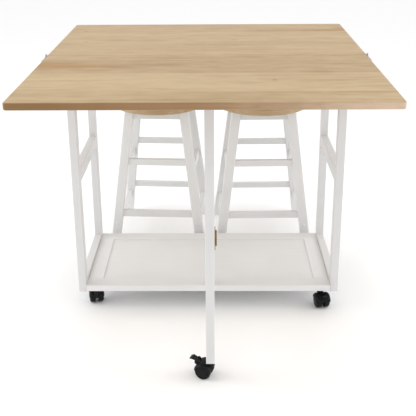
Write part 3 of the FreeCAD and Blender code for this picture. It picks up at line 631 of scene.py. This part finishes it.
class TABLE_OT_casters(bpy.types.Operator):
    """Mould the hoods, turn the wheels and finish the casters"""
    bl_idname = "table.casters"
    bl_label = "Make the casters"

    def execute(self, context):
        finish = context.scene.table_finish
        sizes = context.scene.table_sizes
        plastic = moulded("caster_black", finish.plastic, rough=0.34)
        tread = moulded("wheel_black", finish.tread, rough=0.24)
        steel = metal("steel", finish.steel, rough=0.30, brushed=240.0)
        for node, slot in SLOT_OF.items():
            if slot in ("caster_black", "steel"):
                give(frame["nodes"][node], plastic if slot == "caster_black" else steel)
        for spot in CASTERS:
            node = spot + "_caster_wheels"
            add(self.wheels(spot, node, sizes), tread, BODY_OF[node])
            node = spot + "_caster_hood"
            add(self.hood(spot, node, sizes), plastic, BODY_OF[node])
        return {"FINISHED"}

    def reach(self, spot):
        """Inner and outer place of a caster's wheels along their axle, from the middle."""
        joint = JOINTS[spot + "_caster_roll"]
        points = np.array([v.co for v in frame["nodes"][spot + "_caster_wheels"].data.vertices])
        along = np.abs((points - np.array(joint["pos_m"])) @ np.array(joint["axis"]))
        return along.min(), along.max()

    def wheels(self, spot, node, sizes):
        """A pair of wheels turned round their axle, with a wide round shoulder, a groove and a domed face.

        The dome rises with 1 - share^2, where share is the radius over the face's own. The groove is given
        by the distance in from the rim and the height over it.
        """
        joint = JOINTS[spot + "_caster_roll"]
        inner, outer = self.reach(spot)
        radius = joint["pos_m"][2]
        shoulder = sizes.hood_round - sizes.hood_wall - sizes.hood_gap
        flat_end = outer - sizes.hood_round
        shoulder_end = 76
        ease = 0.0009
        dome = 0.0014
        disc_inset = 0.0030
        groove = np.array([(0.0008, 0.0001), (0.0012, -ease), (0.0020, -ease)])
        round_off = arc(radius - shoulder, flat_end, shoulder, 0, shoulder_end, 12)
        rim, face = round_off[-1]
        shares = np.array([1.0, 0.9, 0.75, 0.55, 0.3, 0.1, 0.0])
        disc = rim - disc_inset
        profile = np.concatenate([
            [(0, inner), (radius - ease, inner)],
            arc(radius - ease, inner + ease, ease, -60, 0, 3),
            round_off,
            (rim, face) + groove * (-1, 1),
            np.stack([disc * shares, face + dome * (1 - shares ** 2)], -1),
        ])
        grids = [turned(joint["pos_m"], np.array(joint["axis"]) * side, profile) for side in (1, -1)]
        piece = mesh_piece("pair_of_" + node, grids)
        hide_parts(node)
        return piece

    def hood(self, spot, node, sizes):
        """A moulded hood: a fender, a fin between the wheels, a boss, and ears where it has a lever.

        Points are worked out along the trail, along the axle and up, and carried to the caster's place.
        """
        swivel = np.array(JOINTS[spot + "_caster_swivel"]["pos_m"])
        hub = np.array(JOINTS[spot + "_caster_roll"]["pos_m"])
        axle = np.array(JOINTS[spot + "_caster_roll"]["axis"])
        ahead = np.array([hub[0] - swivel[0], hub[1] - swivel[1], 0])
        trail = np.linalg.norm(ahead)
        axes = np.stack([ahead / trail, axle, (0, 0, 1)])
        foot = np.array([swivel[0], swivel[1], 0])
        inner, outer = self.reach(spot)
        local = [
            self.fender(trail, hub[2], outer, sizes),
            self.fin(trail, hub[2], inner, sizes),
            self.boss(swivel[2], hub[2], sizes),
        ]
        if spot + "_brake_tip" in JOINTS:
            local += self.ears(spot, axle, swivel, sizes)
        piece = mesh_piece("moulded_" + node, [foot + grid @ axes for grid in local])
        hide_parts(node)
        return piece

    def fender(self, trail, radius, outer, sizes):
        """A channel swept round the axle: flat crown, sides rounded down over the wheels' shoulders.

        The section is the rounded outer line and the same line moved in by the wall; the ends close on
        its middle line.
        """
        start, end = np.radians((13, 167))
        steps = 49
        side_bend = 62
        bend = np.radians(np.linspace(0, side_bend, 9))
        size = sizes.hood_round
        middle = radius + sizes.hood_gap + sizes.hood_wall - size
        spans = []
        for depth in (0, sizes.hood_wall):
            bow = (size - depth) * np.stack([np.sin(bend), np.cos(bend)], -1)
            side = (outer - size, middle) + bow
            spans.append(np.concatenate([side[::-1] * (-1, 1), side]))
        section = np.concatenate([spans[0], spans[1][::-1]])
        centre_line = (spans[0] + spans[1]) / 2
        closing = np.concatenate([centre_line, centre_line[::-1]])
        turns = np.concatenate([[start], np.linspace(start, end, steps), [end]])
        loops = np.stack([closing] + [section] * steps + [closing])
        y, r = loops[..., 0], loops[..., 1]
        c, s = np.cos(turns)[:, None], np.sin(turns)[:, None]
        return np.stack([trail + r * c, y, radius + r * s], -1)

    def fin(self, trail, radius, inner, sizes):
        """A plate between the wheels: full radius inside the fender, smaller round the axle below.

        Its radius goes from the web's to the fender's by a smooth step of the height over the axle.
        """
        step_low, step_span = 0.02, 0.16
        play = 0.0005
        ease = 0.0006
        a = np.linspace(0, 2 * math.pi, 96, endpoint=False)
        step = np.clip((np.sin(a) - step_low) / step_span, 0, 1)
        full = radius + sizes.hood_gap + sizes.hood_wall / 2
        out = sizes.hood_web + (full - sizes.hood_web) * step ** 2 * (3 - 2 * step)
        half = inner - play
        shares = np.array([0, 0.95, 1.0, 1.0, 0.95, 0])[:, None]
        y = np.array([half, half, half - ease, ease - half, -half, -half])[:, None] * np.ones_like(a)
        return np.stack([trail + shares * out * np.cos(a), y, radius + shares * out * np.sin(a)], -1)

    def boss(self, top, radius, sizes):
        """A swivel boss turned round the upright axis, with a round upper edge and a foot in the fender."""
        over_axle = 0.005
        ease = 0.0012
        foot_share, foot_round, top_share = 0.85, 1.6, 0.6
        size = sizes.boss_radius
        low = radius + over_axle
        profile = np.concatenate([
            [(0, low), (size * foot_share, low)],
            arc(size - ease, low + 2 * ease, foot_round * ease, -60, 0, 4),
            arc(size - ease, top - ease, ease, 0, 90, 6),
            [(size * top_share, top), (0, top)],
        ])
        return turned((0, 0, 0), (0, 0, 1), profile, count=48)

    def ears(self, spot, axle, swivel, sizes):
        """Two round ears with eased edges on either side of the lever, and the pin between them."""
        pivot = np.array(JOINTS[spot + "_brake_tip"]["pos_m"])
        lever = np.array([v.co for v in frame["nodes"][spot + "_caster_brake_lever"].data.vertices])
        play = 0.0003
        wide = 0.002
        ease = 0.0005
        pin_radius = 0.0015
        half = np.abs((lever - pivot) @ axle).max() + play
        ahead = np.linalg.norm(pivot[:2] - swivel[:2])
        size = sizes.ear_radius
        profile = np.concatenate([
            [(0, half)],
            arc(size - ease, half + ease, ease, -90, 0, 4),
            arc(size - ease, half + wide - ease, ease, 0, 90, 4),
            [(0, half + wide)],
        ])
        end = half + wide / 2
        pin = [(0, -end), (pin_radius, -end), (pin_radius, end), (0, end)]
        place = (ahead, 0, pivot[2])
        grids = [turned(place, (0, side, 0), profile, count=40) for side in (1, -1)]
        return grids + [turned(place, (0, 1, 0), pin, count=20)]


class TABLE_OT_fittings(bpy.types.Operator):
    """Finish the hinges and drive their screws"""
    bl_idname = "table.fittings"
    bl_label = "Fit the hinges and screws"

    def execute(self, context):
        finish = context.scene.table_finish
        sizes = context.scene.table_sizes
        brass = metal("hinge_brass", finish.brass, rough=0.24, brushed=300.0)
        screws = metal("screw_steel", finish.steel, rough=0.26, brushed=500.0)
        for node, slot in SLOT_OF.items():
            if slot == "hinge_brass":
                give(frame["nodes"][node], brass)
        self.gate_screws(brass, sizes.hinge_screw)
        self.leaf_screws(screws, sizes.arm_screw)
        self.plate_screws(screws, sizes.plate_screw)
        return {"FINISHED"}

    def gate_screws(self, material, radius):
        """Two brass screws in each leaf of the gate's hinges, their slots turned by different angles."""
        first_turn = 0.4
        plate = 0.002
        half = 0.023
        apart = 0.014
        inset = 0.011
        for node, outer in (("gate_hinge_plates", 1), ("gate_hinge_leaves", -1)):
            low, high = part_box(node)
            y = high.y - inset if outer > 0 else low.y + inset
            heads = []
            for middle in (low.z + half, high.z - half):
                for turn, side in enumerate((-1, 1)):
                    spot = (low.x + plate, y, middle + side * apart)
                    heads.append(screw_head(spot, (1, 0, 0), radius, first_turn + turn))
            piece = mesh_piece("screws_of_" + node, heads)
            add(piece, material, BODY_OF[node])

    def leaf_screws(self, material, radius):
        """Two screws through each strap of the leaf's end hinges."""
        turn_step = 0.9
        strap_middle = 0.0045
        from_end = (0.009, 0.031)
        for node, way in (("leaf_hinge_plates", -1), ("leaf_hinge_arms", 1)):
            low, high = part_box(node)
            end = high.y if way < 0 else low.y
            heads = []
            for side, x in ((-1, low.x), (1, high.x)):
                for turn, place in enumerate(from_end):
                    spot = (x, end + way * place, low.z + strap_middle)
                    heads.append(screw_head(spot, (side, 0, 0), radius, turn_step * turn))
            piece = mesh_piece("screws_of_" + node, heads)
            add(piece, material, BODY_OF[node])

    def plate_screws(self, material, radius):
        """Four screws from below in each caster plate, their slots turned by their place on it."""
        turn_x, turn_y = 7.0, 30.0
        node = "caster_plates"
        low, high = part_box(node)
        thickness = 0.0025
        corner = 0.0055
        size = 0.038
        heads = []
        for x in (low.x, high.x - size):
            for y in (low.y, high.y - size):
                for dx in (corner, size - corner):
                    for dy in (corner, size - corner):
                        spot = (x + dx, y + dy, high.z - thickness)
                        turn = turn_x * dx + turn_y * dy
                        heads.append(screw_head(spot, (0, 0, -1), radius, turn))
        piece = mesh_piece("screws_of_caster_plates", heads)
        add(piece, material, BODY_OF[node])


class TABLE_OT_caps(bpy.types.Operator):
    """Press cover caps over the screws in the stools' legs"""
    bl_idname = "table.caps"
    bl_label = "Cap the leg screws"

    def execute(self, context):
        sizes = context.scene.table_sizes
        # The caps take the stools' lighter paint, with its painted light.
        paint = bpy.data.materials["stool_paint_z"]
        splay = 0.121
        spread = 0.145
        leg_half_depth = 0.012
        height = sizes.cap_height
        turned_by = {"left_stool": -3.09, "right_stool": 1.01}
        for stool, degrees in turned_by.items():
            low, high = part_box(stool + "_seat")
            middle = np.array([(low.x + high.x) / 2, (low.y + high.y) / 2, 0])
            turn = np.array(Matrix.Rotation(math.radians(degrees), 3, "Z"))
            reach = spread - splay * height
            heads = []
            for side in (-1, 1):
                for front in (-1, 1):
                    spot = np.array([side * reach, front * (reach + leg_half_depth), height])
                    normal = turn @ np.array([0, front, splay])
                    heads.append(dome_cap(middle + turn @ spot, normal, sizes.leg_cap))
            piece = mesh_piece("screw_caps_of_" + stool, heads)
            add(piece, paint, stool)
        return {"FINISHED"}


class TABLE_OT_stage(bpy.types.Operator):
    """Lay the floor, set the lights and aim the camera"""
    bl_idname = "table.stage"
    bl_label = "Set the stage"

    def execute(self, context):
        settings = context.scene.table_stage
        self.floor(settings)
        self.lights(context.scene, settings)
        self.camera(context.scene)
        context.scene.view_settings.view_transform = "Standard"
        return {"FINISHED"}

    def floor(self, settings):
        """A plain pale square of floor under the part."""
        half = settings.floor_size / 2
        side = np.linspace(-half, half, 3)
        x, y = np.meshgrid(side, side, indexing="ij")
        piece = mesh_piece("floor", [np.stack([x, y, np.zeros_like(x)], -1)], closed=False)
        r = Recipe("floor")
        soft = r.noise(r.place, 3.0, 2.0)
        give(piece, r.finish(Base_Color=tuple(settings.floor_colour), Roughness=0.85 + soft * 0.05))

    def lights(self, scene, settings):
        """Even white light all round and a large soft light on each side."""
        world = bpy.data.worlds.new("studio")
        world.use_nodes = True
        sky = world.node_tree.nodes["Background"]
        sky.inputs["Color"].default_value = (1, 1, 1, 1)
        sky.inputs["Strength"].default_value = settings.sky
        scene.world = world
        self.softbox(scene, "left_softbox", settings.left, -1, settings)
        self.softbox(scene, "right_softbox", settings.right, 1, settings)

    def softbox(self, scene, name, power, side, settings):
        """A round area light aimed at the middle of the part."""
        lamp = bpy.data.lights.new(name, "AREA")
        lamp.energy = power
        lamp.shape = "DISK"
        lamp.size = settings.softbox_size
        box = bpy.data.objects.new(name, lamp)
        box.location = (side * settings.softbox_side, -settings.softbox_ahead, settings.softbox_height)
        aim = Vector((0, 0, settings.aim_height)) - box.location
        box.rotation_euler = aim.to_track_quat("-Z", "Y").to_euler()
        scene.collection.objects.link(box)

    def camera(self, scene):
        """A camera at the photograph's viewing angle, worked out from the table's corners and feet."""
        seam_y = TOP_LOW.y
        place = Vector((0.0235, seam_y - 1.8736, 1.1715))
        yaw, pitch, roll = 0.0111, 0.3274, -0.0064
        focal_pixels = 755.1
        frame_pixels = 416
        lens = bpy.data.cameras.new("camera")
        lens.sensor_width = 36
        lens.lens = lens.sensor_width * focal_pixels / frame_pixels
        lens.shift_y = -0.17
        camera = bpy.data.objects.new("camera", lens)
        level = Matrix.Rotation(yaw, 4, "Z") @ Matrix.Rotation(math.pi / 2 - pitch, 4, "X")
        camera.matrix_world = Matrix.Translation(place) @ level @ Matrix.Rotation(roll, 4, "Z")
        scene.collection.objects.link(camera)
        scene.camera = camera


class TABLE_PT_panel(bpy.types.Panel):
    """Steps that dress the table"""
    bl_idname = "TABLE_PT_panel"
    bl_label = "Rolling kitchen table"
    bl_space_type = "VIEW_3D"
    bl_region_type = "UI"
    bl_category = "Table"

    def draw(self, context):
        for step in STEPS:
            self.layout.operator(step.bl_idname)
        scene = context.scene
        for group in (scene.table_finish, scene.table_sizes, scene.table_stage):
            for name in group.__annotations__:
                self.layout.prop(group, name)


STEPS = (TABLE_OT_boards, TABLE_OT_seats, TABLE_OT_paint, TABLE_OT_casters, TABLE_OT_fittings,
         TABLE_OT_caps, TABLE_OT_stage)
CLASSES = (TableFinish, TableSizes, StageSettings, *STEPS, TABLE_PT_panel)


def register():
    """Register the classes and their settings."""
    for item in CLASSES:
        bpy.utils.register_class(item)
    bpy.types.Scene.table_finish = bpy.props.PointerProperty(type=TableFinish)
    bpy.types.Scene.table_sizes = bpy.props.PointerProperty(type=TableSizes)
    bpy.types.Scene.table_stage = bpy.props.PointerProperty(type=StageSettings)


def unregister():
    """Undo register."""
    del bpy.types.Scene.table_stage
    del bpy.types.Scene.table_sizes
    del bpy.types.Scene.table_finish
    for item in reversed(CLASSES):
        bpy.utils.unregister_class(item)


def main():
    """Dress the table step by step."""
    register()
    bpy.ops.table.boards()
    bpy.ops.table.seats()
    bpy.ops.table.paint()
    bpy.ops.table.casters()
    bpy.ops.table.fittings()
    bpy.ops.table.caps()
    bpy.ops.table.stage()


if __name__ == "__main__":
    main()
